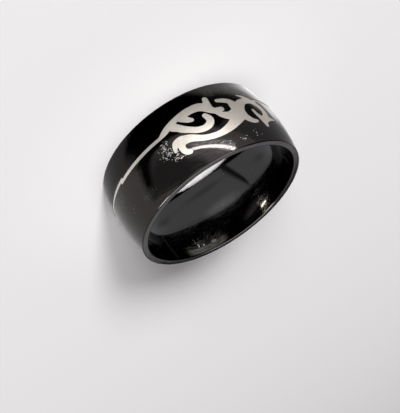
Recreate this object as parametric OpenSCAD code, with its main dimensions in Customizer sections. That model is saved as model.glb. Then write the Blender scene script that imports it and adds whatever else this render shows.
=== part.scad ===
// Domed steel ring, black all over, with a bare steel scroll and line.
// It lies on its side: the bore runs along Z and the bottom rim stands on Z = 0.
// The root of the scroll's tail faces the front, which is -Y.

/* [Band] */
// Bore diameter, a size 9 finger
bore_d = 19; // [16:0.5:23]
// Width of the band along the finger
band_w = 9; // [8:0.5:12]
// Wall thickness in the middle of the dome
crown_t = 1.3; // [1.1:0.1:1.8]
// Wall thickness at both rims
rim_t = 0.76; // [0.7:0.02:1]
// Radius on the inner and outer corner of each rim
rim_round = 0.16; // [0.1:0.02:0.22]

/* [Bare steel] */
// Depth of the bare steel below the black surface
etch_d = 0.05; // [0.03:0.01:0.08]
// Thickness of the bare steel
bare_t = 0.15; // [0.12:0.01:0.2]
// Clear gap round the bare steel
gap = 0.02; // [0.01:0.01:0.04]

/* [Line] */
// Width of the line next to the scroll
near_line_w = 0.4; // [0.3:0.05:0.6]
// Width of the line beyond its step
far_line_w = 0.34; // [0.24:0.02:0.5]
// Drop of the line below the middle of the band, next to the scroll
near_line_drop = 1.01; // [0.9:0.01:1.1]
// Drop of the line beyond its step
far_line_drop = 1.23; // [1.15:0.01:1.3]
// Angle from the front at which the line steps down
step_angle = 42; // [30:1:60]
// Angle over which the two widths overlap at the step
step_overlap = 3; // [1:1:6]

/* [Hidden] */
$fn = 180;

bore_r = bore_d / 2;
crown_r = bore_r + crown_t;
half_w = band_w / 2;

// The dome is one arc that passes through both rims and the crown
dome_rise = crown_t - rim_t;
dome_r = (half_w * half_w + dome_rise * dome_rise) / (2 * dome_rise);
dome_x = crown_r - dome_r;

// Angles run round the ring from the front, positive to the right
front = -90;
turn_per_mm = 180 / (PI * crown_r);

// Radial reach of the cutters, from well inside the wall to outside the crown
spare = 1;
cutter_r = 0.7 * bore_r;
cutter_l = crown_r + spare - cutter_r;

// Steps of the smooth curve between two rows, and of a round stroke end
curve_steps = 3;
end_steps = 6;

// A stroke is a row for each place that it passes, with these columns:
// mm round the crown from the front, mm above the middle, half width
ALONG = 0;
UP = 1;
HALF = 2;

tail = [
    [1.5, -1.02, 0.19], [1, -1.18, 0.33], [0.3, -1.44, 0.39],
    [-0.4, -1.68, 0.36], [-1.2, -1.86, 0.36], [-2.1, -1.91, 0.47],
    [-3, -1.93, 0.5], [-3.8, -1.82, 0.56], [-4.5, -1.4, 0.6]
];
horn = [
    [-4.65, -1.5, 0.55], [-4.92, -2.1, 0.36], [-5.03, -2.5, 0.32]
];
spiral = [
    [-0.25, -1.2, 0.5], [-0.65, -0.75, 0.43], [-1.02, -0.3, 0.42],
    [-1.53, 0.14, 0.375], [-2.17, 0.6, 0.37], [-2.95, 0.82, 0.39],
    [-3.6, 0.68, 0.41], [-3.96, 0.3, 0.4], [-3.97, -0.08, 0.385],
    [-3.8, -0.5, 0.31]
];
barb = [
    [-1.5, -1.65, 0.5], [-1.78, -1.28, 0.43], [-2.05, -0.95, 0.34],
    [-2.32, -0.77, 0.25]
];
top_sweep = [
    [-7.3, 1, 0.6], [-6.6, 1.32, 0.6], [-5.5, 1.84, 0.47],
    [-4.3, 2.12, 0.36], [-3.1, 2.02, 0.33], [-2.1, 1.66, 0.34],
    [-1.1, 1.02, 0.44], [-0.2, 0.75, 0.58]
];
hook = [
    [0, 0.75, 0.55], [0.16, 1.4, 0.36], [0.14, 1.85, 0.33],
    [-0.08, 2.15, 0.31], [-0.3, 2.25, 0.27]
];
prong = [
    [-0.1, 0.65, 0.5], [0.45, 0.65, 0.42], [0.79, 0.95, 0.27],
    [0.94, 1.33, 0.18]
];
neck = [
    [-4.4, -1.4, 0.6], [-4.72, -0.95, 0.5], [-5.2, -0.42, 0.38],
    [-5.53, 0.16, 0.42], [-6.25, 0.58, 0.57], [-7.1, 0.62, 0.8]
];
knob = [
    [-5, -0.62, 0.32], [-5.4, -0.58, 0.36], [-5.86, -0.55, 0.32]
];
claw = [
    [-7.65, -0.1, 0.75], [-7.55, -0.75, 0.62], [-7.3, -1.3, 0.43],
    [-6.7, -1.6, 0.34], [-6.12, -1.76, 0.27]
];
eye = [
    [-9.25, 1.88, 0.2], [-8.7, 1.8, 0.35], [-8.1, 1.3, 0.5],
    [-7.85, 0.6, 0.6], [-8, -0.1, 0.62], [-8.6, -0.75, 0.53],
    [-9.3, -1.02, 0.43], [-10.2, -1.1, 0.52], [-11, -0.6, 0.5],
    [-11.5, 0.15, 0.5], [-11.45, 0.95, 0.52], [-10.9, 1.6, 0.5],
    [-10.3, 1.6, 0.45]
];
tongue = [
    [-10.42, 2.46, 0.29], [-10.4, 2, 0.45], [-10.2, 1.5, 0.45],
    [-9.9, 1.05, 0.33], [-9.74, 0.65, 0.27], [-9.71, 0.45, 0.26]
];
spike = [
    [-11.2, 1.4, 0.55], [-12, 1.5, 0.27], [-12.8, 1.6, 0.1]
];
low_barb = [
    [-10.3, -1.2, 0.5], [-9.8, -1.66, 0.3], [-9.35, -1.9, 0.2],
    [-9.02, -2.02, 0.13]
];

// Strokes in three groups, each cut straight in at its own angle from the front
GROUPS = [
    [-12, [tail, horn, spiral, barb, top_sweep, hook, prong]],
    [-33, [neck, knob, claw]],
    [-54, [eye, tongue, spike, low_barb]]
];

// The line leaves the end of the tail, and runs into the scroll's far side
far_side = -11;
line_start = tail[0][ALONG] * turn_per_mm;
line_end = 360 + far_side * turn_per_mm;

// Height of the dome's surface over the axis, at a height above the middle
function surface_r(up) = dome_x + sqrt(dome_r * dome_r - up * up);

// One coordinate of a smooth curve between rows b and c
function blend(a, b, c, d, t) =
    0.5 * (2 * b + (c - a) * t + (2 * a - 5 * b + 4 * c - d) * t * t
    + (3 * b - a - 3 * c + d) * t * t * t);

// A row of the stroke, or the row that would follow beyond either end
function row_at(rows, i) =
    i < 0 ? 2 * rows[0] - rows[1]
    : i >= len(rows) ? 2 * rows[len(rows) - 1] - rows[len(rows) - 2]
    : rows[i];

// The stroke with more rows, along a smooth curve through the given ones
function smooth(rows) = concat(
    [
        for (i = [0 : len(rows) - 2])
            for (j = [0 : curve_steps - 1])
                blend(
                    row_at(rows, i - 1), rows[i], rows[i + 1],
                    row_at(rows, i + 2), j / curve_steps
                )
    ],
    [rows[len(rows) - 1]]
);

// Heading of the stroke at a row
function heading(rows, i) =
    let (step = rows[min(i + 1, len(rows) - 1)] - rows[max(i - 1, 0)])
    atan2(step[UP], step[ALONG]);

// A point beside a row, at an angle to the picture's level
function beside(row, angle, grow) = [
    row[ALONG] + (row[HALF] + grow) * cos(angle),
    row[UP] + (row[HALF] + grow) * sin(angle)
];

// Outline of a stroke: one side, round the end, the other side, round the start
function outline(rows, grow) =
    let (last = len(rows) - 1)
    concat(
        [for (i = [0 : last]) beside(rows[i], heading(rows, i) + 90, grow)],
        [
            for (k = [1 : end_steps - 1])
                beside(rows[last], heading(rows, last) + 90 - 180 * k / end_steps, grow)
        ],
        [for (i = [last : -1 : 0]) beside(rows[i], heading(rows, i) - 90, grow)],
        [
            for (k = [1 : end_steps - 1])
                beside(rows[0], heading(rows, 0) - 90 - 180 * k / end_steps, grow)
        ]
    );

// A point of the dome as seen straight along the cutter's angle
function seen_from(aim, point) = [
    (surface_r(point[UP]) - etch_d) * sin(point[ALONG] * turn_per_mm - aim),
    point[UP] + half_w
];

// Straight cutters through the wall, of the scroll's outline grown by a gap
module scroll_cutters(grow) {
    for (group = GROUPS)
        rotate([0, 0, front + group[0]])
            translate([cutter_r, 0, 0])
                rotate([90, 0, 90])
                    linear_extrude(cutter_l)
                        for (rows = group[1])
                            polygon([
                                for (point = outline(smooth(rows), grow))
                                    seen_from(group[0], point)
                            ]);
}

// One level stretch of the line, as a block round the axis
module line_stretch(from, to, drop, width, grow) {
    rotate([0, 0, front + from])
        rotate_extrude(angle = to - from)
            translate([cutter_r, half_w - drop - width / 2 - grow])
                square([cutter_l, width + 2 * grow]);
}

// Both stretches of the line, which overlap at the step
module line_cutters(grow) {
    line_stretch(line_start, step_angle + step_overlap, near_line_drop, near_line_w, grow);
    line_stretch(step_angle, line_end, far_line_drop, far_line_w, grow);
}

// Everything between two depths below the dome's surface
module layer(top, bottom) {
    rotate_extrude()
        intersection() {
            translate([cutter_r, rim_round])
                square([cutter_l, band_w - 2 * rim_round]);
            difference() {
                translate([dome_x, half_w])
                    circle(dome_r - top);
                translate([dome_x, half_w])
                    circle(dome_r - bottom);
            }
        }
}

// Cross section of the band, with its arc outside and four round corners
module section() {
    inner_x = bore_r + rim_round;
    outer_x = dome_x + sqrt(pow(dome_r - rim_round, 2) - pow(half_w - rim_round, 2));
    stretch = dome_r / (dome_r - rim_round);
    touch_x = dome_x + (outer_x - dome_x) * stretch;
    touch_z = half_w - (half_w - rim_round) * stretch;
    union() {
        intersection() {
            translate([dome_x, half_w])
                circle(dome_r);
            polygon([
                [inner_x, 0], [outer_x, 0], [outer_x, rim_round],
                [touch_x, touch_z], [crown_r + spare, touch_z],
                [crown_r + spare, band_w - touch_z], [touch_x, band_w - touch_z],
                [outer_x, band_w - rim_round], [outer_x, band_w],
                [inner_x, band_w], [inner_x, band_w - rim_round],
                [bore_r, band_w - rim_round], [bore_r, rim_round],
                [inner_x, rim_round]
            ]);
        }
        for (x = [inner_x, outer_x])
            for (z = [rim_round, band_w - rim_round])
                translate([x, z])
                    circle(rim_round);
    }
}

// The black band, with a shallow pocket for the bare steel
module band() {
    color("#17161a")
        difference() {
            rotate_extrude()
                section();
            intersection() {
                union() {
                    scroll_cutters(gap);
                    line_cutters(gap);
                }
                layer(-spare, etch_d + bare_t + gap);
            }
        }
}

// The bare steel scroll, a little below the black surface
module scroll_inlay() {
    color("#d8d4ca")
        intersection() {
            layer(etch_d, etch_d + bare_t);
            scroll_cutters(0);
        }
}

// The bare steel line, from the tail round the band to the scroll's far side
module line_inlay() {
    color("#c4c0b8")
        difference() {
            intersection() {
                layer(etch_d, etch_d + bare_t);
                line_cutters(0);
            }
            scroll_cutters(gap);
        }
}

band();
scroll_inlay();
line_inlay();
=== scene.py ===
"""A domed steel ring, plated black, with a bare steel scroll and line etched through the plating.

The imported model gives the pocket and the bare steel. This script makes the band's mesh again, finer and
from the same sizes, gives each piece its finish, and adds the floor, the lights and the camera. Lengths
are in metres and angles in radians, unless a comment says otherwise.
"""

import logging
import math
from abc import ABC, abstractmethod
from dataclasses import KW_ONLY, dataclass, field
from enum import Enum
from functools import partial, reduce
from typing import Iterable, NamedTuple

import bpy
import bmesh
import numpy as np
from mathutils import Matrix, Vector
from mathutils.geometry import delaunay_2d_cdt


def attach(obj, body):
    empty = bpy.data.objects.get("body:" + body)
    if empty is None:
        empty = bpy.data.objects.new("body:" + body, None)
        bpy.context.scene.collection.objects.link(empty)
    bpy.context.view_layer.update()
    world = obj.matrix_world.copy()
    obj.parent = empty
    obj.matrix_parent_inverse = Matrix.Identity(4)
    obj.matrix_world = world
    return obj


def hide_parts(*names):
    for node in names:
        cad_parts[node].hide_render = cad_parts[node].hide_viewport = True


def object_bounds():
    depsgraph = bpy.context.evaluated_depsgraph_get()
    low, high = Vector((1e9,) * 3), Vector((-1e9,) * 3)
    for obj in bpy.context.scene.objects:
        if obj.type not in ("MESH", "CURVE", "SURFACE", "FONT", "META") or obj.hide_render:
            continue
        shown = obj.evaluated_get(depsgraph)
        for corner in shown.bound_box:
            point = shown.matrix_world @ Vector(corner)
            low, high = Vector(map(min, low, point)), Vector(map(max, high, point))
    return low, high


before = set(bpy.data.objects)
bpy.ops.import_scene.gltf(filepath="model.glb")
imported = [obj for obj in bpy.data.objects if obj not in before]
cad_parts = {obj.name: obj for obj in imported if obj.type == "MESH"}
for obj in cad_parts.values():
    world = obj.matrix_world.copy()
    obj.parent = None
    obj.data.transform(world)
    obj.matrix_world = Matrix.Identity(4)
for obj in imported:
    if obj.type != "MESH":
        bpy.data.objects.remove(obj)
CAD_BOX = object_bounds()
MM = 0.001
LOG = logging.getLogger("ring")

# Points nearer to each other than this are one point.
SAME_PLACE = 1e-8
# A point this near the dome lies on it.
TOUCH = 2e-7
# The pocket's points lie at least this far inside the dome's ends.
END_MARGIN = 10 * TOUCH
# The size of a matrix that both turns and moves.
MATRIX_SIZE = 4
# The triangulation's mode that gives every triangle.
ALL_TRIANGLES = 0
# The numbers of a colour mix's sockets: its share, its two colours and its result.
MIX_SHARE, MIX_FIRST, MIX_SECOND, MIX_RESULT = 0, 6, 7, 2
# The inputs of each group that draws strokes.
STROKE_INPUTS = ("Sheet", "Angle", "Length", "Width", "Share")

Colour = tuple[float, float, float]
Place = tuple[float, float, float]
Pair = tuple[float, float]
Edge = tuple[int, int]
Face = tuple[int, ...]
Socket = bpy.types.NodeSocket
Sockets = bpy.types.bpy_prop_collection
Group = bpy.types.NodeTree
Thing = bpy.types.Object
WHITE: Colour = (1.0, 1.0, 1.0)
COLD_WHITE: Colour = (0.84, 0.91, 0.96)


class Sum(Enum):
    """The sums that a shader tree works out, by Blender's names."""

    ADD = "ADD"
    SUBTRACT = "SUBTRACT"
    MULTIPLY = "MULTIPLY"
    DIVIDE = "DIVIDE"
    SQRT = "SQRT"
    MAXIMUM = "MAXIMUM"
    LESS_THAN = "LESS_THAN"
    ABSOLUTE = "ABSOLUTE"
    ARCTAN2 = "ARCTAN2"


def add_object(name: str, data: bpy.types.ID) -> Thing:
    """Adds an object to the scene.

    Args:
        name: its name.
        data: its mesh, light or camera.

    Returns:
        The object.
    """
    made = bpy.data.objects.new(name, data)
    bpy.context.scene.collection.objects.link(made)
    return made


def around_axis(reach: float, angle: float, height: float) -> Vector:
    """Gives the place at a distance from the axis, an angle from +X and a height."""
    return Vector((reach * math.cos(angle), reach * math.sin(angle), height))


@dataclass
class PhotoCamera:
    """The camera, at the photograph's angle to the ring.

    Attributes:
        place: where it stands.
        tilt_deg: how far its view is raised from straight down.
        roll_deg: how far it is turned about its own view.
        lens_mm: its focal length, for a frame that is 36 mm on its long side.
        nearest: how near it sees.
        farthest: how far it sees.
    """

    place: Place = (0.00214, -0.09078, 0.05033)
    tilt_deg: float = 64.71
    roll_deg: float = 144.94
    lens_mm: float = 77.91
    nearest: float = 1.0 * MM
    farthest: float = 20.0

    def build(self) -> Thing:
        """Makes the camera and gives it to the scene.

        Returns:
            The camera object.
        """
        data = bpy.data.cameras.new("photo_camera")
        data.lens = self.lens_mm
        data.clip_start = self.nearest
        data.clip_end = self.farthest
        camera = add_object("photo_camera", data)
        tilt = Matrix.Rotation(math.radians(self.tilt_deg), MATRIX_SIZE, "X")
        roll = Matrix.Rotation(math.radians(self.roll_deg), MATRIX_SIZE, "Z")
        camera.matrix_world = Matrix.Translation(self.place) @ tilt @ roll
        bpy.context.scene.camera = camera
        return camera


class ShaderTree:
    """Adds nodes to one shader tree and joins them."""

    def __init__(self, tree: Group) -> None:
        """Keeps the tree that the nodes go into."""
        self.tree = tree

    def feed(self, socket: Socket, value: object) -> None:
        """Joins a socket to another one, or sets its value.

        Args:
            socket: the input to fill.
            value: an output to join it to, a number, or a colour or vector.
        """
        if isinstance(value, Socket):
            self.tree.links.new(value, socket)
        elif isinstance(value, tuple) and socket.type == "RGBA" and len(value) == 3:
            socket.default_value = (*value, 1.0)
        else:
            socket.default_value = value

    def add(self, kind: str, inputs: dict | None = None, **settings: object) -> bpy.types.Node:
        """Adds one node.

        Args:
            kind: the node's type, without its ShaderNode prefix.
            inputs: values or outputs for its inputs, by name or number.
            **settings: the node's own properties.

        Returns:
            The new node.
        """
        node = self.tree.nodes.new("ShaderNode" + kind)
        for name, value in settings.items():
            setattr(node, name, value)
        for name, value in (inputs or {}).items():
            self.feed(node.inputs[name], value)
        return node

    def math(self, operation: Sum, first: object, second: object = 0.0) -> Socket:
        """Works out one sum on two values, each a number or an output."""
        return self.add("Math", {0: first, 1: second}, operation=operation.value).outputs[0]

    def plus(self, base: object, value: object, share: object) -> Socket:
        """Adds a share of a value to a base."""
        return self.math(Sum.ADD, base, self.math(Sum.MULTIPLY, value, share))

    def greatest(self, values: Iterable[Socket]) -> Socket:
        """Gives the greatest of some values."""
        return reduce(partial(self.math, Sum.MAXIMUM), values)

    def length(self, first: Socket, second: Socket) -> Socket:
        """Gives the length of a line from how far it runs in two directions."""
        squares = self.plus(self.math(Sum.MULTIPLY, first, first), second, second)
        return self.math(Sum.SQRT, squares)

    def scaled(self, vector: Socket, factor: Socket) -> Socket:
        """Multiplies a vector by a number."""
        return self.add("VectorMath", {0: vector, "Scale": factor}, operation="SCALE").outputs[0]

    def ramp(self, value: Socket, low: float, high: float, start: float, end: float) -> Socket:
        """Turns a value into a smooth step, which is start up to low, and end from high on."""
        ends = {"Value": value, "From Min": low, "From Max": high, "To Min": start, "To Max": end}
        return self.add("MapRange", ends, interpolation_type="SMOOTHSTEP").outputs[0]

    def mix(self, share: Socket, first: Colour, second: Colour) -> Socket:
        """Mixes two colours, by the share of the second."""
        inputs = {MIX_SHARE: share, MIX_FIRST: first, MIX_SECOND: second}
        return self.add("Mix", inputs, data_type="RGBA").outputs[MIX_RESULT]

    def noise(self, place: Socket, scale: float, detail: float) -> Socket:
        """Gives a cloudy value around 0.5, with finer layers over it as detail says."""
        return self.add("TexNoise", {"Vector": place, "Scale": scale, "Detail": detail}).outputs[0]


class EffectGroup(ShaderTree):
    """A node group being made. Its sockets named Sheet are vectors, and the others are numbers.

    Attributes:
        given: the outputs that bring in what the group is given, by name.
    """

    def __init__(self, name: str, inputs: tuple[str, ...], outputs: tuple[str, ...]) -> None:
        """Makes the group with its named sockets.

        Args:
            name: its name.
            inputs: the names of its inputs.
            outputs: the names of its outputs.
        """
        super().__init__(bpy.data.node_groups.new(name, "ShaderNodeTree"))
        for side, labels in (("INPUT", inputs), ("OUTPUT", outputs)):
            for label in labels:
                kind = "NodeSocketVector" if label == "Sheet" else "NodeSocketFloat"
                self.tree.interface.new_socket(label, in_out=side, socket_type=kind)
        self.given = self.tree.nodes.new("NodeGroupInput").outputs

    def give(self, **values: Socket) -> Group:
        """Fills the group's outputs.

        Args:
            **values: the values, by name.

        Returns:
            The finished group.
        """
        ends = self.tree.nodes.new("NodeGroupOutput").inputs
        for name, value in values.items():
            self.feed(ends[name], value)
        return self.tree

    def stroke_place(self, cell: float) -> Socket:
        """Turns and stretches the sheet, so that a stroke becomes as long as it is wide.

        Args:
            cell: how far apart the strokes lie, against their own size.

        Returns:
            The place to read a pattern at.
        """
        spin = {"Vector": self.given["Sheet"], "Angle": self.given["Angle"]}
        turned = self.add("VectorRotate", spin, rotation_type="Z_AXIS").outputs[0]
        part = self.add("SeparateXYZ", {0: turned}).outputs
        sizes = (self.math(Sum.MULTIPLY, self.given[name], cell) for name in ("Length", "Width"))
        along, across = (self.math(Sum.DIVIDE, *pair) for pair in zip(part, sizes))
        return self.add("CombineXYZ", {0: along, 1: across, 2: part[2]}).outputs[0]


@dataclass(frozen=True)
class Effects:
    """The node groups that the ring's finishes draw with.

    Attributes:
        place: gives where a point lies on the unrolled band, in millimetres.
        bend: shifts places a little, so that strokes read at them curve.
        scratches: gives a mask of long thin hairlines.
        flecks: gives a mask of short crisp strokes.
        grain: gives a fine even grain.
    """

    place: Group
    bend: Group
    scratches: Group
    flecks: Group
    grain: Group

    @classmethod
    def build(cls, crown_r: float) -> "Effects":
        """Makes the groups, for a band whose greatest radius is given in metres."""
        strokes = (cls.scratch_group(), cls.fleck_group())
        return cls(cls.place_group(crown_r), cls.bend_group(), *strokes, cls.grain_group())

    @staticmethod
    def place_group(crown_r: float) -> Group:
        """Makes the group that unrolls the band.

        Args:
            crown_r: the band's greatest radius.

        Returns:
            A group that gives how far along the crown, up the band and out a point lies, in millimetres.
        """
        group = EffectGroup("band_place", (), ("Sheet", "Along", "Up", "Out"))
        x, y, z = group.add("SeparateXYZ", {0: group.add("TexCoord").outputs["Object"]}).outputs
        turn = group.math(Sum.ARCTAN2, x, group.math(Sum.MULTIPLY, y, -1.0))
        along = group.math(Sum.MULTIPLY, turn, crown_r / MM)
        up = group.math(Sum.DIVIDE, z, MM)
        out = group.math(Sum.DIVIDE, group.length(x, y), MM)
        sheet = group.add("CombineXYZ", {0: along, 1: up, 2: out}).outputs[0]
        return group.give(Sheet=sheet, Along=along, Up=up, Out=out)

    @staticmethod
    def bend_group() -> Group:
        """Makes the group that shifts places by a smooth cloud.

        Returns:
            A group that gives the shifted place.
        """
        group = EffectGroup("soft_bend", ("Sheet", "Amount", "Size"), ("Sheet",))
        sheet = group.given["Sheet"]
        near = group.scaled(sheet, group.math(Sum.DIVIDE, 1.0, group.given["Size"]))
        cloud = group.add("TexNoise", {"Vector": near, "Scale": 1.0, "Detail": 1.0}).outputs["Color"]
        middle = (0.5, 0.5, 0.5)
        shift = group.add("VectorMath", {0: cloud, 1: middle}, operation="SUBTRACT").outputs[0]
        moved = {0: sheet, 1: group.scaled(shift, group.given["Amount"])}
        return group.give(Sheet=group.add("VectorMath", moved, operation="ADD").outputs[0])

    @staticmethod
    def scratch_group() -> Group:
        """Makes the group that draws long thin strokes.

        Returns:
            A group that gives 1 on a stroke and 0 beside it.
        """
        group = EffectGroup("fine_scratches", STROKE_INPUTS, ("Mask",))
        cloud = group.noise(group.stroke_place(cell=1.0), scale=1.0, detail=0.0)
        highest, span, edge = 0.8, 0.4, 0.06
        least = group.plus(highest, group.given["Share"], -span)
        return group.give(Mask=group.ramp(group.math(Sum.SUBTRACT, cloud, least), 0.0, edge, 0.0, 1.0))

    @staticmethod
    def fleck_group() -> Group:
        """Makes the group that draws short crisp strokes, each apart from the next.

        Returns:
            A group that gives 1 on a stroke and 0 beside it.
        """
        group = EffectGroup("crisp_flecks", STROKE_INPUTS, ("Mask",))
        place = {"Vector": group.stroke_place(cell=2.0), "Scale": 1.0}
        cells = group.add("TexVoronoi", place, voronoi_dimensions="2D").outputs
        chance = group.add("SeparateColor", {0: cells["Color"]}).outputs[0]
        picked = group.math(Sum.LESS_THAN, chance, group.given["Share"])
        solid_to, clear_from = 0.2, 0.3
        stroke = group.ramp(cells["Distance"], solid_to, clear_from, 1.0, 0.0)
        return group.give(Mask=group.math(Sum.MULTIPLY, stroke, picked))

    @staticmethod
    def grain_group() -> Group:
        """Makes the group that gives a fine even grain.

        Returns:
            A group that gives values around 0.5.
        """
        group = EffectGroup("fine_grain", ("Sheet", "Size"), ("Value",))
        near = group.scaled(group.given["Sheet"], group.math(Sum.DIVIDE, 1.0, group.given["Size"]))
        return group.give(Value=group.noise(near, scale=1.0, detail=3.0))


class Finish(ShaderTree):
    """A material being made.

    Attributes:
        material: the material.
        shader: its shader.
    """

    def __init__(self, name: str) -> None:
        """Makes the material with its own shader.

        Args:
            name: the material's name.
        """
        self.material = bpy.data.materials.new(name)
        self.material.use_nodes = True
        super().__init__(self.material.node_tree)
        self.shader = self.tree.nodes["Principled BSDF"]

    def use(self, group: Group, **inputs: object) -> Sockets:
        """Places a group, with the values of its inputs, and gives its outputs."""
        return self.add("Group", inputs, node_tree=group).outputs

    def shade(self, **inputs: object) -> None:
        """Fills the shader's sockets, whose names are written as in Base_Color."""
        for name, value in inputs.items():
            self.feed(self.shader.inputs[name.replace("_", " ")], value)

    def carve(self, height: Socket, depth: float, share: float) -> None:
        """Shows a height as relief, by its depth in metres and by how strongly it shows."""
        relief = {"Height": height, "Distance": depth, "Strength": share}
        self.shade(Normal=self.add("Bump", relief).outputs[0])


@dataclass(frozen=True)
class Strokes:
    """Fine strokes that lie in one direction.

    Attributes:
        angle: their direction on the unrolled band.
        length: the length of each, in millimetres.
        width: the width of each, in millimetres.
        share: how thickly they lie, from 0 to 1.
    """

    angle: float
    length: float
    width: float
    share: float = 1.0

    def draw(self, finish: Finish, group: Group, sheet: Socket, share: Socket | None = None) -> Socket:
        """Draws them with one of the groups of strokes.

        Args:
            finish: the material being made.
            group: the group that draws them.
            sheet: the place on the unrolled band.
            share: an output that says how thickly they lie, in place of their own share.

        Returns:
            A value that is 1 on a stroke.
        """
        dense = self.share if share is None else share
        sizes = {"Angle": self.angle, "Length": self.length, "Width": self.width}
        return finish.use(group, Sheet=sheet, Share=dense, **sizes)["Mask"]


@dataclass(frozen=True)
class Cloud:
    """A cloudy mask that lies over a finish.

    Attributes:
        scale: clouds for each millimetre.
        detail: how many finer layers lie over the first.
        low: the noise's value where the mask begins.
        high: the noise's value where it is full.
        full: what the mask gives there.
    """

    scale: float
    detail: float
    low: float
    high: float
    full: float

    def draw(self, finish: Finish, sheet: Socket) -> Socket:
        """Draws it over the unrolled band, as a value from 0 to full."""
        noise = finish.noise(sheet, self.scale, self.detail)
        return finish.ramp(noise, self.low, self.high, 0.0, self.full)


@dataclass(frozen=True)
class ScuffPatch:
    """A place where the plating is rubbed through in specks and strokes.

    Attributes:
        along: its middle along the crown from the root of the scroll's tail, in millimetres.
        up: its middle above the lower rim, in millimetres.
        wide: how far it reaches along the crown, in millimetres.
        high: how far it reaches up and down, in millimetres.
        share: how thickly the specks lie, from 0 to 1.
        core: the share of its reach within which they lie thickest.
        edge: the share of its reach at which they end.
    """

    along: float
    up: float
    wide: float
    high: float
    share: float
    core: float = 0.2
    edge: float = 1.2

    def draw(self, finish: Finish, place: Sockets) -> Socket:
        """Gives how thickly the specks lie at each point.

        Args:
            finish: the material being made.
            place: the outputs of the place group.

        Returns:
            A value from 0 to share.
        """
        aside = finish.math(Sum.DIVIDE, finish.math(Sum.SUBTRACT, place["Along"], self.along), self.wide)
        above = finish.math(Sum.DIVIDE, finish.math(Sum.SUBTRACT, place["Up"], self.up), self.high)
        return finish.ramp(finish.length(aside, above), self.core, self.edge, self.share, 0.0)


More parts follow.
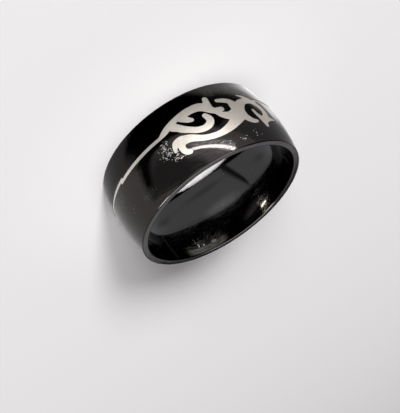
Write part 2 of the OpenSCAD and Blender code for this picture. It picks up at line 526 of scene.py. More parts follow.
@dataclass(frozen=True)
class BlackPlating:
    """Glossy black plating on polished steel, with fine scratches and scuffs.

    Attributes:
        colour: the plating's own reflection, seen straight on.
        bare: the steel that shows where it is rubbed through.
        roughness: how matt the clean plating is.
        smudges: the clouds where it is more matt.
        scratched: how much more matt a scratch is.
        rubbed: how much more matt it is where it is rubbed through.
        grain_size: the size of its finest unevenness, in millimetres.
        grain: how high that is, against a scuff's depth.
        groove: how deep a scratch is, against a scuff's depth.
        relief: a scuff's depth.
        relief_share: how strongly the relief shows, from 0 to 1.
        hairlines: the fine scratches, one entry for each direction.
        hairline_bend: how far they curve, and over what distance, against their length.
        flecks: the strokes in the scuffs, one entry for each direction.
        fleck_bend: how far those curve, and over what distance, in millimetres.
        dust: the specks that lie here and there all over it.
        dusty: the clouds that the specks lie in.
        outside: the distances from the axis over which all marks begin, in millimetres.
        scuffs: the places where it is rubbed through.
    """

    colour: Colour = (0.046, 0.042, 0.041)
    bare: Colour = (0.95, 0.93, 0.9)
    roughness: float = 0.035
    smudges: Cloud = Cloud(scale=0.35, detail=3.0, low=0.45, high=0.75, full=0.04)
    scratched: float = 0.16
    rubbed: float = 0.3
    grain_size: float = 0.12
    grain: float = 0.15
    groove: float = 0.55
    relief: float = 0.002 * MM
    relief_share: float = 0.35
    hairlines: tuple[Strokes, ...] = (
        Strokes(0.03, 3.0, 0.025, 0.4),
        Strokes(0.55, 1.6, 0.03, 0.2),
        Strokes(-0.35, 2.0, 0.03, 0.2),
    )
    hairline_bend: Pair = (1.5, 3.0)
    flecks: tuple[Strokes, ...] = (
        Strokes(0.75, 0.34, 0.06),
        Strokes(-0.3, 0.24, 0.06),
        Strokes(1.7, 0.2, 0.05),
        Strokes(0.2, 0.08, 0.06),
    )
    fleck_bend: Pair = (0.6, 0.5)
    dust: Strokes = Strokes(0.3, 0.07, 0.07, 0.1)
    dusty: Cloud = Cloud(scale=0.35, detail=1.0, low=0.55, high=0.75, full=0.3)
    outside: Pair = (9.9, 10.2)
    scuffs: tuple[ScuffPatch, ...] = (
        ScuffPatch(1.05, 6.5, 0.8, 0.55, 0.36),
        ScuffPatch(1.8, 5.5, 1.0, 0.55, 0.42),
        ScuffPatch(1.8, 4.7, 0.8, 0.75, 0.3),
        ScuffPatch(-8.2, 7.8, 0.7, 0.6, 0.13),
        ScuffPatch(-6.3, 8.1, 0.6, 0.4, 0.1),
    )

    def build(self, name: str, effects: Effects) -> bpy.types.Material:
        """Makes the material.

        Args:
            name: the material's name.
            effects: the shared groups.

        Returns:
            The material.
        """
        finish = Finish(name)
        place = finish.use(effects.place)
        sheet = place["Sheet"]
        strokes = self.scratches(finish, sheet, effects)
        worn = self.worn(finish, place, effects)
        grain = finish.use(effects.grain, Sheet=sheet, Size=self.grain_size)["Value"]
        rough = finish.math(Sum.ADD, self.roughness, self.smudges.draw(finish, sheet))
        rough = finish.plus(finish.plus(rough, strokes, self.scratched), worn, self.rubbed)
        height = finish.plus(finish.math(Sum.MULTIPLY, grain, self.grain), strokes, -self.groove)
        finish.shade(Base_Color=finish.mix(worn, self.colour, self.bare), Metallic=1.0, Roughness=rough)
        finish.carve(finish.math(Sum.SUBTRACT, height, worn), self.relief, self.relief_share)
        return finish.material

    def scratches(self, finish: Finish, sheet: Socket, effects: Effects) -> Socket:
        """Gives the mask of the fine scratches.

        Args:
            finish: the material being made.
            sheet: the place on the unrolled band.
            effects: the shared groups.

        Returns:
            A value that is 1 on a scratch.
        """
        amount, size = self.hairline_bend
        strokes = []
        for kind in self.hairlines:
            curve = {"Amount": amount * kind.length, "Size": size * kind.length}
            bent = finish.use(effects.bend, Sheet=sheet, **curve)["Sheet"]
            strokes.append(kind.draw(finish, effects.scratches, bent))
        return finish.greatest(strokes)

    def worn(self, finish: Finish, place: Sockets, effects: Effects) -> Socket:
        """Gives the mask of what is rubbed through.

        Args:
            finish: the material being made.
            place: the outputs of the place group.
            effects: the shared groups.

        Returns:
            A value that is 1 where bare steel shows.
        """
        sheet = place["Sheet"]
        reach = finish.greatest(patch.draw(finish, place) for patch in self.scuffs)
        amount, size = self.fleck_bend
        bent = finish.use(effects.bend, Sheet=sheet, Amount=amount, Size=size)["Sheet"]
        marks = [kind.draw(finish, effects.flecks, bent, reach) for kind in self.flecks]
        dust = self.dust.draw(finish, effects.flecks, sheet)
        marks.append(finish.math(Sum.MULTIPLY, dust, self.dusty.draw(finish, sheet)))
        outside = finish.ramp(place["Out"], *self.outside, 0.0, 1.0)
        return finish.math(Sum.MULTIPLY, finish.greatest(marks), outside)


@dataclass(frozen=True)
class EtchedSteel:
    """Bare steel with the matt grain that etching leaves, and painted shade towards the scroll's far end.

    Attributes:
        colour: the steel where it is cleanest.
        stain_and_shade: the steel where it is dullest, from stains and from painted shade.
        metal: how much of it shines as metal. The rest scatters like frost.
        roughness: how matt its smoothest part is.
        grain_size: the size of its grain, in millimetres.
        grainy: how much more matt the grain makes it.
        brushed: the fine strokes all over it.
        brush_bend: how far those curve, and over what distance, in millimetres.
        brush_depth: how deep they are, against the grain.
        stains: the clouds where it is dull.
        stroke_stain: how much duller a stroke is, and so is the grain.
        shaded_end: how much painted shade darkens the scroll's far end, from 0 to 1.
        shaded_from: where along the crown the painted shade is full, and where it has faded, in
            millimetres.
        relief: the grain's depth.
        relief_share: how strongly the relief shows, from 0 to 1.
    """

    colour: Colour = (0.86, 0.81, 0.725)
    stain_and_shade: Colour = (0.6, 0.55, 0.5)
    metal: float = 0.85
    roughness: float = 0.45
    grain_size: float = 0.06
    grainy: float = 0.1
    brushed: Strokes = Strokes(-0.7, 1.4, 0.05, 0.9)
    brush_bend: Pair = (0.5, 2.0)
    brush_depth: float = 0.6
    stains: Cloud = Cloud(scale=0.3, detail=2.0, low=0.4, high=0.75, full=0.4)
    stroke_stain: float = 0.2
    shaded_end: float = 0.8
    shaded_from: Pair = (-9.5, -2.5)
    relief: float = 0.006 * MM
    relief_share: float = 0.5

    def build(self, name: str, effects: Effects) -> bpy.types.Material:
        """Makes the material.

        Args:
            name: the material's name.
            effects: the shared groups.

        Returns:
            The material.
        """
        finish = Finish(name)
        place = finish.use(effects.place)
        sheet = place["Sheet"]
        grain = finish.use(effects.grain, Sheet=sheet, Size=self.grain_size)["Value"]
        amount, size = self.brush_bend
        bent = finish.use(effects.bend, Sheet=sheet, Amount=amount, Size=size)["Sheet"]
        lines = self.brushed.draw(finish, effects.scratches, bent)
        # Painted shade: the steel's colour darkens towards the scroll's far end, where less light falls
        # on it.
        far = finish.ramp(place["Along"], *self.shaded_from, self.shaded_end, 0.0)
        stain_and_shade_share = finish.math(Sum.ADD, self.stains.draw(finish, sheet), far)
        stain_and_shade_share = finish.plus(finish.plus(stain_and_shade_share, lines, self.stroke_stain), grain, self.stroke_stain)
        # The duller colour is mixed in both for real stains and for the painted shade at the far end.
        finish.shade(Base_Color=finish.mix(stain_and_shade_share, self.colour, self.stain_and_shade), Metallic=self.metal)
        finish.shade(Roughness=finish.plus(self.roughness, grain, self.grainy))
        finish.carve(finish.plus(grain, lines, -self.brush_depth), self.relief, self.relief_share)
        return finish.material


class Station(NamedTuple):
    """A point of the band's cross section, and the direction that it faces.

    Attributes:
        radius: how far it lies from the axis.
        height: how far it lies above the lower rim.
        out: how much it faces away from the axis.
        rise: how much it faces up.
    """

    radius: float
    height: float
    out: float
    rise: float

    def turned(self, angle: float) -> tuple[Vector, Vector]:
        """Gives the point's place and its direction, at an angle round the axis."""
        place = around_axis(self.radius, angle, self.height)
        return place, around_axis(self.out, angle, self.rise)


@dataclass(frozen=True)
class BandSection:
    """The band's cross section: a straight bore, an arc outside and four round corners.

    Attributes:
        bore_r: the bore's radius.
        crown_r: the radius over the middle of the dome.
        width: the width along the finger.
        rim_wall: the wall's thickness at both rims.
        rim_round: the radius of each corner.
    """

    bore_r: float = 9.5 * MM
    crown_r: float = 10.8 * MM
    width: float = 9.0 * MM
    rim_wall: float = 0.76 * MM
    rim_round: float = 0.16 * MM

    @property
    def half(self) -> float:
        """Half the width."""
        return self.width / 2

    @property
    def dome_r(self) -> float:
        """The radius of the arc outside."""
        rise = self.crown_r - self.bore_r - self.rim_wall
        return (self.half**2 + rise**2) / (2 * rise)

    @property
    def dome_x(self) -> float:
        """Where the arc's middle lies, measured from the axis."""
        return self.crown_r - self.dome_r

    @property
    def edge_up(self) -> float:
        """How far above the middle the arc runs into the round corner."""
        return (self.half - self.rim_round) * self.dome_r / (self.dome_r - self.rim_round)

    @property
    def dome_ends(self) -> tuple[Station, Station]:
        """The lower and the upper end of the arc."""
        return self.dome(-self.edge_up), self.dome(self.edge_up)

    def dome(self, up: float) -> Station:
        """Gives the point of the arc at a height above the middle."""
        reach = math.sqrt(self.dome_r**2 - up**2)
        return Station(self.dome_x + reach, self.half + up, reach / self.dome_r, up / self.dome_r)

    def depth(self, point: Vector) -> float:
        """Gives how far a point lies below the arc."""
        return self.dome_r - math.hypot(point.xy.length - self.dome_x, point.z - self.half)

    def corner(self, radius: float, height: float, start: float, end: float, steps: int) -> list[Station]:
        """Gives the points of a round corner.

        Args:
            radius: where its middle lies, measured from the axis.
            height: where its middle lies, measured from the lower rim.
            start: the angle that it starts at, from straight out.
            end: the angle that it ends at.
            steps: how many steps it has.

        Returns:
            The points, with both ends.
        """
        angles = (start + (end - start) * step / steps for step in range(steps + 1))
        turns = ((math.cos(angle), math.sin(angle)) for angle in angles)
        size = self.rim_round
        return [Station(radius + size * out, height + size * rise, out, rise) for out, rise in turns]

    def inside(self, corner_steps: int, bore_steps: int) -> list[Station]:
        """Gives the section from the arc's upper end, down the bore, to its lower end.

        Args:
            corner_steps: how many steps each round corner has.
            bore_steps: how many steps the bore has.

        Returns:
            The points, without the arc's own two ends.
        """
        quarter = math.pi / 2
        tilt = math.asin(self.edge_up / self.dome_r)
        reach = math.sqrt((self.dome_r - self.rim_round) ** 2 - (self.half - self.rim_round) ** 2)
        outer = self.dome_x + reach
        inner = self.bore_r + self.rim_round
        high, low = self.width - self.rim_round, self.rim_round
        drops = (high + (low - high) * step / bore_steps for step in range(1, bore_steps))
        return [
            *self.corner(outer, high, tilt, quarter, corner_steps)[1:],
            *self.corner(inner, high, quarter, 2 * quarter, corner_steps),
            *(Station(self.bore_r, height, -1.0, 0.0) for height in drops),
            *self.corner(inner, low, 2 * quarter, 3 * quarter, corner_steps),
            *self.corner(outer, low, 3 * quarter, 4 * quarter - tilt, corner_steps)[:-1],
        ]


class FacedMesh:
    """A mesh being made, whose faces say which way each of their corners faces."""

    def __init__(self) -> None:
        """Starts with nothing."""
        self.points: list[Vector] = []
        self.faces: list[Face] = []
        self.facings: list[Vector] = []

    def point(self, place: Vector) -> int:
        """Adds a point and gives its number."""
        self.points.append(place)
        return len(self.points) - 1

    def face(self, corners: Face, facings: tuple[Vector, ...]) -> None:
        """Adds a face, from the numbers of its points and the direction that each faces."""
        self.faces.append(corners)
        self.facings.extend(facings)

    def build(self, name: str) -> Thing:
        """Makes the object.

        Args:
            name: its name.

        Returns:
            The object, which shades as its corners say.
        """
        mesh = bpy.data.meshes.new(name)
        mesh.from_pydata(self.points, [], self.faces)
        mesh.polygons.foreach_set("use_smooth", [True] * len(self.faces))
        mesh.normals_split_custom_set(self.facings)
        return add_object(name, mesh)


@dataclass
class Pocket:
    """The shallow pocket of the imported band, which holds the bare steel.

    Attributes:
        points: the places of its points.
        faces: its faces, as numbers of points.
        mouth: the edges where it meets the dome, as pairs of numbers.
    """

    points: list[Vector]
    faces: list[Face]
    mouth: list[Edge]

    @classmethod
    def read(cls, node: str, section: BandSection, deepest: float = 0.3 * MM) -> "Pocket":
        """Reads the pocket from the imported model.

        Args:
            node: the band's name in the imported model.
            section: the band's cross section.
            deepest: a depth below the dome that the pocket doesn't reach.

        Returns:
            The pocket.
        """
        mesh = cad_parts[node].data
        numbers: dict[Face, int] = {}
        points: list[Vector] = []
        joined = []
        for vertex in mesh.vertices:
            key = tuple(round(value / SAME_PLACE) for value in vertex.co)
            if key not in numbers:
                numbers[key] = len(points)
                points.append(vertex.co.copy())
            joined.append(numbers[key])
        outside = [abs(point.z - section.half) < section.edge_up - END_MARGIN for point in points]
        depths = [section.depth(point) for point in points]
        dome_edges: set[Edge] = set()
        faces = []
        for polygon in mesh.polygons:
            corners = tuple(joined[number] for number in polygon.vertices)
            if all(abs(depths[number]) < TOUCH for number in corners):
                dome_edges ^= cls.edges(corners)
            elif all(outside[number] and depths[number] < deepest for number in corners):
                faces.append(corners)
        walls = set().union(*(cls.edges(corners) for corners in faces))
        return cls(points, faces, sorted(dome_edges & walls))

    @staticmethod
    def edges(corners: Face) -> set[Edge]:
        """Gives a face's edges, each with its lower number first."""
        after = corners[1:] + corners[:1]
        return {(min(pair), max(pair)) for pair in zip(corners, after)}


@dataclass
class Band:
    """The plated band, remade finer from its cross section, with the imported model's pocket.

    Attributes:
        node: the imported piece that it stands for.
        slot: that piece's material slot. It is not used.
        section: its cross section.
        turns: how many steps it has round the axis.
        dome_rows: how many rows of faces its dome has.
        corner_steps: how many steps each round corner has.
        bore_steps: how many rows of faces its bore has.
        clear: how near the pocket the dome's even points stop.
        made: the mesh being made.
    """

    node: str = "band"
    slot: str = "black_plating"
    section: BandSection = BandSection()
    turns: int = 288
    dome_rows: int = 28
    corner_steps: int = 6
    bore_steps: int = 10
    clear: float = 0.1 * MM
    made: FacedMesh = field(default_factory=FacedMesh)

    def build(self, material: bpy.types.Material) -> Thing:
        """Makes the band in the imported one's place and gives it its finish.

        Args:
            material: the finish.

        Returns:
            The band.
        """
        low, high = (self.ring(end) for end in self.section.dome_ends)
        self.add_inside(high, low)
        self.add_dome(low, high, self.add_pocket())
        band = self.made.build("ring_band")
        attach(band, "root")
        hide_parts(self.node)
        band.data.materials.append(material)
        return band

    def angle(self, step: int) -> float:
        """Gives the angle of a step round the axis."""
        return 2.0 * math.pi * (step % self.turns) / self.turns

    def ring(self, station: Station) -> list[int]:
        """Adds a ring of points, by turning a point of the section, and gives their numbers."""
        return [self.made.point(station.turned(self.angle(step))[0]) for step in range(self.turns)]

    def add_inside(self, high: list[int], low: list[int]) -> None:
        """Adds both rims and the bore.

        Args:
            high: the dome's upper ring.
            low: the dome's lower ring.
        """
        lowest, highest = self.section.dome_ends
        middle = self.section.inside(self.corner_steps, self.bore_steps)
        stations = [highest, *middle, lowest]
        rings = [high, *(self.ring(station) for station in middle), low]
        pairs = list(zip(stations, rings))
        for (before, upper), (after, lower) in zip(pairs, pairs[1:]):
            for step in range(self.turns):
                beyond = (step + 1) % self.turns
                start, end = self.angle(step), self.angle(beyond)
                corners = (upper[step], upper[beyond], lower[beyond], lower[step])
                turns = ((before, start), (before, end), (after, end), (after, start))
                self.made.face(corners, tuple(station.turned(angle)[1] for station, angle in turns))

    def add_pocket(self) -> list[Edge]:
        """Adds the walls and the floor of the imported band's pocket.

        Returns:
            The edges of its mouth, with the new points' numbers.
        """
        pocket = Pocket.read(self.node, self.section)
        numbers: dict[int, int] = {}
        for corners in pocket.faces:
            for number in corners:
                if number not in numbers:
                    numbers[number] = self.made.point(pocket.points[number])
            first, second, third = (pocket.points[number] for number in corners)
            facing = (second - first).cross(third - first).normalized()
            self.made.face(tuple(numbers[number] for number in corners), (facing,) * len(corners))
        return [(numbers[start], numbers[end]) for start, end in pocket.mouth]

    def flat(self, place: Vector) -> Vector:
        """Lays a point of the dome on a flat ring, with its angles kept."""
        reach = math.exp((place.z - self.section.half) / self.section.crown_r)
        return place.xy.normalized() * reach

    def add_dome(self, low: list[int], high: list[int], mouth: list[Edge]) -> None:
        """Adds the dome, with even points all over it and the pocket's mouth cut out.

        Args:
            low: the dome's lower ring.
            high: the dome's upper ring.
            mouth: the edges of the pocket's mouth.
        """
        points = self.made.points
        used = [*low, *high, *sorted({number for pair in mouth for number in pair})]
        used += self.even_points(mouth)
        order = {number: at for at, number in enumerate(used)}
        rims = [(ring[step - 1], ring[step]) for ring in (low, high) for step in range(self.turns)]
        edges = [(order[start], order[end]) for start, end in [*rims, *mouth]]
        flat = [self.flat(points[number]) for number in used]
        _, _, faces, origins, _, _ = delaunay_2d_cdt(flat, edges, [], ALL_TRIANGLES, SAME_PLACE)
        triangles = np.array([[origins[corner][0] for corner in corners] for corners in faces])
        places = np.array(flat)
        inside = self.enclosed(places[triangles].mean(axis=1), places[np.array(edges)])
        for corners in triangles[inside]:
            face = tuple(used[corner] for corner in reversed(corners))
            self.made.face(face, tuple(self.facing(points[number]) for number in face))

    @staticmethod
    def enclosed(places: np.ndarray, edges: np.ndarray) -> np.ndarray:
        """Tells which places have an odd number of edges to one side of them.

        Args:
            places: the places, one in each row.
            edges: the edges, each with two places.

        Returns:
            True or False for each place.
        """
        odd = np.zeros(len(places), dtype=bool)
        for start, end in edges:
            spans = (start[1] > places[:, 1]) != (end[1] > places[:, 1])
            share = (places[spans, 1] - start[1]) / (end[1] - start[1])
            odd[spans] ^= places[spans, 0] < start[0] + share * (end[0] - start[0])
        return odd

    def even_points(self, mouth: list[Edge]) -> list[int]:
        """Adds the dome's even points, apart from those too near the pocket.

        Args:
            mouth: the edges of the pocket's mouth.

        Returns:
            The points' numbers.
        """
        ends = np.array([[self.flat(self.made.points[number]) for number in pair] for pair in mouth])
        start, run = ends[:, 0], ends[:, 1] - ends[:, 0]
        edge = self.section.edge_up
        added = []
        for row in range(1, self.dome_rows):
            station = self.section.dome(edge * (2 * row / self.dome_rows - 1))
            for step in range(self.turns):
                place = station.turned(self.angle(step))[0]
                flat = np.array(self.flat(place))
                share = np.clip(((flat - start) * run).sum(1) / (run * run).sum(1), 0.0, 1.0)
                away = np.linalg.norm(start + run * share[:, None] - flat, axis=1).min()
                if away * self.section.crown_r > self.clear * np.linalg.norm(flat):
                    added.append(self.made.point(place))
        return added

    def facing(self, place: Vector) -> Vector:
        """Gives the direction that the dome faces at a point of it."""
        station = self.section.dome(place.z - self.section.half)
        return station.turned(math.atan2(place.y, place.x))[1]


@dataclass
class Inlay:
    """Bare steel in the band's pocket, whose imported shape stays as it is.

    Attributes:
        node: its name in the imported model.
    """

    node: str

    def dress(self, material: bpy.types.Material) -> Thing:
        """Gives it its finish.

        Args:
            material: the finish.

        Returns:
            The piece.
        """
        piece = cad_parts[self.node]
        for slot in piece.material_slots:
            slot.material = material
        return piece


@dataclass
class Scroll(Inlay):
    """The scroll ornament."""

    node: str = "scroll_inlay"


@dataclass
class Line(Inlay):
    """The thin line that runs from the scroll's tail all round the band."""

    node: str = "line_inlay"


@dataclass(frozen=True)
class ReflectionCard(ABC):
    """A card that only shows in glossy surfaces, as a studio's flags and strips do.

    Attributes:
        name: the card's name.
        glow: how bright it is, against a white floor's 1.
        tint: the colour of its light.
    """

    name: str
    glow: float
    _: KW_ONLY
    tint: Colour = WHITE

    @abstractmethod
    def shape(self) -> bpy.types.Mesh:
        """Makes the card's mesh, with its edges' places in a UV map."""

    @abstractmethod
    def cover(self, tree: ShaderTree, spread: Sockets) -> Socket:
        """Gives how solid the card is, from 0 at its edges to 1, by what its UV map gives."""

    def build(self) -> None:
        """Makes the card and keeps it out of all but reflections."""
        mesh = self.shape()
        mesh.materials.append(self.finish())
        card = add_object(self.name, mesh)
        card.visible_camera = False
        card.visible_diffuse = False
        card.visible_shadow = False
        card.visible_transmission = False

    def mesh(self, points: list[Vector], faces: list[Face], shares: list[Pair]) -> bpy.types.Mesh:
        """Makes the card's mesh from its parts.

        Args:
            points: the places of its points.
            faces: its faces, as numbers of points.
            shares: what its UV map gives at each point.

        Returns:
            The mesh.
        """
        mesh = bpy.data.meshes.new(self.name)
        mesh.from_pydata(points, [], faces)
        spread = mesh.uv_layers.new(name="spread")
        for corner in mesh.loops:
            spread.uv[corner.index].vector = shares[corner.vertex_index]
        return mesh

    def finish(self) -> bpy.types.Material:
        """Makes the card's glow.

        Returns:
            The material.
        """
        material = bpy.data.materials.new(self.name)
        material.use_nodes = True
        material.node_tree.nodes.clear()
        tree = ShaderTree(material.node_tree)
        spread = tree.add("SeparateXYZ", {0: tree.add("TexCoord").outputs["UV"]}).outputs
        light = tree.add("Emission", {"Color": self.tint, "Strength": self.glow}).outputs[0]
        clear = tree.add("BsdfTransparent").outputs[0]
        mixed = tree.add("MixShader", {0: self.cover(tree, spread), 1: clear, 2: light}).outputs[0]
        tree.add("OutputMaterial", {0: mixed})
        return material


@dataclass(frozen=True, kw_only=True)
class GridCard(ReflectionCard):
    """A card that is a grid of faces, with four edges that fade.

    Attributes:
        soft: the share of its length and of its width over which each edge fades.
        steps: how many faces it has along each side.
    """

    soft: Pair = (0.1, 0.1)
    steps: int = 12

    @abstractmethod
    def point(self, along: float, across: float) -> Vector:
        """Gives a point of the card, by the shares of its length and its width."""

    def shape(self) -> bpy.types.Mesh:
        """Makes the grid, whose UV map gives the shares of its length and of its width.

        Returns:
            The mesh.
        """
        width = self.steps + 1
        ticks = [step / self.steps for step in range(width)]
        shares = [(along, across) for across in ticks for along in ticks]
        firsts = (row * width + column for row in range(self.steps) for column in range(self.steps))
        faces = [(first, first + 1, first + width + 1, first + width) for first in firsts]
        return self.mesh([self.point(*share) for share in shares], faces, shares)

    def cover(self, tree: ShaderTree, spread: Sockets) -> Socket:
        """Gives how solid the card is, which falls off towards its four edges.

        Args:
            tree: the card's shader tree.
            spread: the shares of its length and of its width.

        Returns:
            A value from 0 at the edges to 1.
        """
        solid = 1.0
        for side, soft in zip(spread[:2], self.soft):
            centred = tree.math(Sum.SUBTRACT, tree.math(Sum.MULTIPLY, side, 2.0), 1.0)
            edge = tree.math(Sum.ABSOLUTE, centred)
            solid = tree.math(Sum.MULTIPLY, solid, tree.ramp(edge, 1.0 - 2.0 * soft, 1.0, 1.0, 0.0))
        return solid


@dataclass(frozen=True)
class FourSidedCard(GridCard):
    """A card that is evenly spread between four corners.

    Attributes:
        corners: its corners in order, in millimetres.
    """

    corners: tuple[Place, Place, Place, Place]

    def point(self, along: float, across: float) -> Vector:
        """Gives a point by the shares of the ways from the first corner to the second and the last."""
        start, far, opposite, near = (Vector(corner) * MM for corner in self.corners)
        return start.lerp(far, along).lerp(near.lerp(opposite, along), across)


@dataclass(frozen=True)
class BentCard(GridCard):
    """A card that stands on edge in the bore, bent round the ring's axis.

    Attributes:
        turns: the directions of its start and its end from +X, in degrees.
        low: the height of its lower edge at both, in millimetres.
        high: the height of its upper edge at both, in millimetres.
        reach: how far it is from the axis, in millimetres.
    """

    turns: Pair
    low: Pair
    high: Pair
    reach: float = 9.44

    def point(self, along: float, across: float) -> Vector:
        """Gives a point by the shares of the ways from start to end and from low to high."""
        turn, low, high = (near + (far - near) * along for near, far in (self.turns, self.low, self.high))
        return around_axis(self.reach, math.radians(turn), low + (high - low) * across) * MM


@dataclass(frozen=True)
class RoundCard(ReflectionCard):
    """A flat round card that lies level.

    Attributes:
        middle: its middle, in millimetres.
        radii: its half width and its half depth, in millimetres.
        soft: the share of its radius over which its edge fades.
        limit: how far from the ring's axis it may reach, in millimetres.
        sides: how many sides it has.
    """

    middle: Place
    radii: Pair
    soft: float
    limit: float = 9.62
    sides: int = 96

    def shape(self) -> bpy.types.Mesh:
        """Makes the card as a fan of triangles, whose UV map gives the share of the radius.

        Returns:
            The mesh.
        """
        middle = Vector(self.middle) * MM
        wide, deep = (radius * MM for radius in self.radii)
        turns = [2.0 * math.pi * side / self.sides for side in range(self.sides)]
        points = [middle + Vector((wide * math.cos(turn), deep * math.sin(turn), 0.0)) for turn in turns]
        for point in points:
            point.xy *= min(1.0, self.limit * MM / point.xy.length)
        faces = [(self.sides, side, (side + 1) % self.sides) for side in range(self.sides)]
        shares = [(1.0, 0.0)] * self.sides + [(0.0, 0.0)]
        return self.mesh([*points, middle], faces, shares)

    def cover(self, tree: ShaderTree, spread: Sockets) -> Socket:
        """Gives how solid the card is, from 0 at its rim to 1, by the share of its radius."""
        return tree.ramp(spread[0], 1.0 - self.soft, 1.0, 1.0, 0.0)


@dataclass(frozen=True)
class SoftLight:
    """A round softbox that faces the ring.

    Attributes:
        name: the light's name.
        turn_deg: the direction that it stands in, from +X, about the vertical.
        rise_deg: how high it stands over the floor, as an angle.
        away: how far it stands from the ring.
        size: its width.
        power: its strength in watts.
        mirrored: whether it shows in glossy surfaces.
    """

    name: str
    turn_deg: float
    rise_deg: float
    away: float
    size: float
    power: float
    mirrored: bool = True

    def build(self, aim: Vector) -> None:
        """Makes the light.

        Args:
            aim: the point that it faces.
        """
        data = bpy.data.lights.new(self.name, "AREA")
        data.shape = "DISK"
        data.size = self.size
        data.energy = self.power
        light = add_object(self.name, data)
        light.visible_glossy = self.mirrored
        turn, rise = math.radians(self.turn_deg), math.radians(self.rise_deg)
        out = around_axis(math.cos(rise), turn, math.sin(rise))
        facing = out.to_track_quat("Z", "Y").to_matrix().to_4x4()
        light.matrix_world = Matrix.Translation(aim + out * self.away) @ facing


@dataclass(frozen=True)
class PoolLight:
    """A spotlight straight above the ring, which brightens the floor in and round it.

    Attributes:
        name: the light's name.
        height: how high it hangs over the floor.
        reach: the radius of its pool of light on the floor.
        blend: the share of that radius over which the pool fades.
        size: its own radius.
        power: its strength in watts.
        shadows: whether the ring throws a shadow in it.
    """

    name: str
    height: float
    reach: float
    blend: float
    size: float
    power: float
    shadows: bool

    def build(self, aim: Vector) -> None:
        """Makes the light.

        Args:
            aim: the point that it hangs above.
        """
        data = bpy.data.lights.new(self.name, "SPOT")
        data.spot_size = 2.0 * math.atan2(self.reach, self.height)
        data.spot_blend = self.blend
        data.use_shadow = self.shadows
        data.shadow_soft_size = self.size
        data.energy = self.power
        light = add_object(self.name, data)
        light.visible_glossy = False
        light.location = (aim.x, aim.y, self.height)


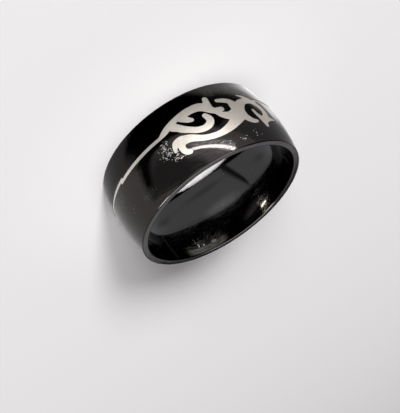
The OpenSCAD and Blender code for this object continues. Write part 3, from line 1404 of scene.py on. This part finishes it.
@dataclass
class Studio:
    """The floor, the lights and the cards round the ring.

    Attributes:
        floor_r: how far the floor reaches.
        floor_sides: how many sides the floor has.
        floor_colour: the floor's colour.
        air: how bright the air round the scene is.
        lights: the lights.
        cards: what the ring mirrors besides them.
    """

    floor_r: float = 2.5
    floor_sides: int = 96
    floor_colour: Colour = (0.86, 0.838, 0.845)
    air: float = 0.1
    lights: tuple[SoftLight | PoolLight, ...] = (
        SoftLight("key_light", -110.0, 18.5, away=1.6, size=0.37, power=39.0, mirrored=False),
        SoftLight("second_light", -95.0, 14.5, away=1.6, size=0.37, power=21.0, mirrored=False),
        SoftLight("top_light", 0.0, 90.0, away=1.4, size=0.8, power=3.4),
        PoolLight("bore_light", 0.5, reach=0.0098, blend=0.2, size=0.0003, power=6.5, shadows=True),
        PoolLight("glow_light", 0.5, reach=0.026, blend=1.0, size=0.0003, power=0.7, shadows=False),
    )
    cards: tuple[ReflectionCard, ...] = (
        FourSidedCard(
            "front_flag", glow=0.0, soft=(0.16, 0.12),
            corners=((-19, -9.0, 0.1), (10, -9.0, 0.1), (13, -16, 0.1), (-19, -22, 0.1)),
        ),
        FourSidedCard(
            "slanted_flag", glow=0.02, soft=(0.2, 0.42),
            corners=((3, -7.6, 0.11), (30, -19, 0.11), (28, -28, 0.11), (3, -16, 0.11)),
        ),
        FourSidedCard(
            "far_flag", glow=0.24, soft=(0.14, 0.02),
            corners=((4, -11, 0.09), (52, -22.5, 0.09), (270, -500, 0.09), (-170, -500, 0.09)),
        ),
        FourSidedCard(
            "foot_flag", glow=0.42, soft=(0.15, 0.3),
            corners=((1, -9.2, 0.06), (10.5, 3, 0.06), (15, 0, 0.06), (12, -14, 0.06)),
        ),
        FourSidedCard(
            "side_flag", glow=0.38,
            corners=((-13, 18, 0.07), (-90, 50, 0.07), (-90, -28, 0.07), (-15, -24, 0.07)),
        ),
        FourSidedCard(
            "lobe_light", glow=2.0, soft=(0.2, 0.45),
            corners=((4, -22, 0.13), (-62, -44, 0.13), (-76, -66, 0.13), (-1, -33, 0.13)),
        ),
        FourSidedCard(
            "strip_light", glow=28.0, soft=(0.02, 0.05),
            corners=((3, -29, 0.14), (-92, -79, 0.14), (-180, -170, 0.14), (2, -31.5, 0.14)),
        ),
        RoundCard("bore_flag", glow=0.0, middle=(0.0, 0.0, 0.05), radii=(9.62, 9.62), soft=0.004),
        RoundCard(
            "bore_card", glow=1.12, tint=COLD_WHITE, middle=(0.2, 4.0, 0.08), radii=(4.7, 5.6), soft=0.04,
        ),
        RoundCard(
            "bore_shade", glow=0.7, tint=COLD_WHITE, middle=(0.2, 6.6, 0.1), radii=(1.7, 1.2), soft=0.9,
        ),
        RoundCard(
            "bore_glow", glow=2.3, tint=COLD_WHITE, middle=(0.2, -0.1, 0.09), radii=(3.6, 2.4), soft=0.95,
        ),
        BentCard(
            "bore_band", glow=0.12, turns=(105.0, 118.5), low=(-4.2, 3.8), high=(1.8, 6.0),
            soft=(0.15, 0.45), reach=9.46,
        ),
        BentCard(
            "lip_band", glow=1.9, tint=(0.97, 1.0, 0.9), turns=(142.0, 246.0), low=(1.7, -0.1),
            high=(2.8, 0.82), soft=(0.18, 0.12),
        ),
        BentCard(
            "right_spark", glow=55.0, tint=(1.0, 0.98, 0.84), turns=(-26.0, -5.0), low=(0.35, 0.5),
            high=(0.75, 0.9), soft=(0.3, 0.3),
        ),
        BentCard(
            "left_spark", glow=36.0, turns=(177.2, 179.6), low=(0.9, 0.3), high=(1.2, 0.6),
            soft=(0.2, 0.2),
        ),
        BentCard(
            "middle_spark", glow=12.0, turns=(187.5, 191.5), low=(0.55, 0.5), high=(1.0, 0.95),
            soft=(0.3, 0.3),
        ),
        BentCard(
            "low_spark", glow=6.0, turns=(206.0, 220.0), low=(0.3, 0.15), high=(0.8, 0.6),
            soft=(0.3, 0.3),
        ),
        FourSidedCard(
            "rim_spark", glow=25.0, soft=(0.2, 0.2),
            corners=((129, -115, 60), (161, -63, 60), (150, -58, 160), (118, -110, 160)),
        ),
        FourSidedCard(
            "shoulder_flag", glow=0.06, soft=(0.06, 0.2),
            corners=((-6.0, -9.0, 0.12), (-20.5, 1.6, 0.12), (-26, -5, 0.12), (-11, -15, 0.12)),
        ),
        FourSidedCard(
            "shoulder_light", glow=1.65, soft=(0.3, 0.3),
            corners=((-7.4, -8.6, 0.15), (-22.0, 9.0, 0.15), (-14.5, 8.5, 0.15), (-6.6, -7.5, 0.15)),
        ),
        FourSidedCard(
            "ceiling_card", glow=8.0,
            corners=((-300, -160, 500), (300, -160, 500), (300, 160, 500), (-300, 160, 500)),
        ),
        FourSidedCard(
            "left_card", glow=0.6, soft=(0.05, 0.01),
            corners=((150, -60, 0.5), (150, 150, 0.5), (150, 150, 220), (150, -60, 220)),
        ),
        FourSidedCard(
            "back_card", glow=0.9, soft=(0.05, 0.05),
            corners=((-140, 150, 72), (140, 150, 72), (140, 150, 220), (-140, 150, 220)),
        ),
    )

    def build(self) -> None:
        """Makes the floor, the air, the lights and the cards."""
        self.build_floor()
        self.build_air()
        aim = Vector((0.0, 0.0, (CAD_BOX[0].z + CAD_BOX[1].z) / 2))
        for light in self.lights:
            light.build(aim)
        for card in self.cards:
            card.build()

    def build_floor(self) -> None:
        """Makes the round pale floor at the lower rim's height."""
        shape = bmesh.new()
        bmesh.ops.create_circle(shape, cap_ends=True, segments=self.floor_sides, radius=self.floor_r)
        mesh = bpy.data.meshes.new("floor")
        shape.to_mesh(mesh)
        shape.free()
        finish = Finish("pale_floor")
        finish.shade(Base_Color=self.floor_colour, Roughness=1.0, Specular_IOR_Level=0.0)
        mesh.materials.append(finish.material)
        add_object("floor", mesh)

    def build_air(self) -> None:
        """Makes the even pale surroundings."""
        world = bpy.data.worlds.new("air")
        world.use_nodes = True
        back = world.node_tree.nodes["Background"]
        back.inputs["Color"].default_value = (*WHITE, 1.0)
        back.inputs["Strength"].default_value = self.air
        bpy.context.scene.world = world


def main() -> None:
    """Builds the scene in order and reports each piece."""
    bpy.context.scene.view_settings.view_transform = "Standard"
    camera = PhotoCamera().build()
    LOG.info("%s stands at the photograph's angle", camera.name)
    effects = Effects.build(CAD_BOX[1].x)
    band = Band().build(BlackPlating().build("glossy_black_plating", effects))
    LOG.info("%s has %d faces", band.name, len(band.data.polygons))
    scroll = Scroll().dress(EtchedSteel().build("etched_scroll_steel", effects))
    LOG.info("%s is dressed", scroll.name)
    line = Line().dress(EtchedSteel(colour=(0.8, 0.77, 0.715)).build("etched_line_steel", effects))
    LOG.info("%s is dressed", line.name)
    studio = Studio()
    studio.build()
    LOG.info("the studio has %d lights and %d cards", len(studio.lights), len(studio.cards))


if __name__ == "__main__":
    logging.basicConfig(level=logging.INFO, format="%(name)s: %(message)s")
    main()
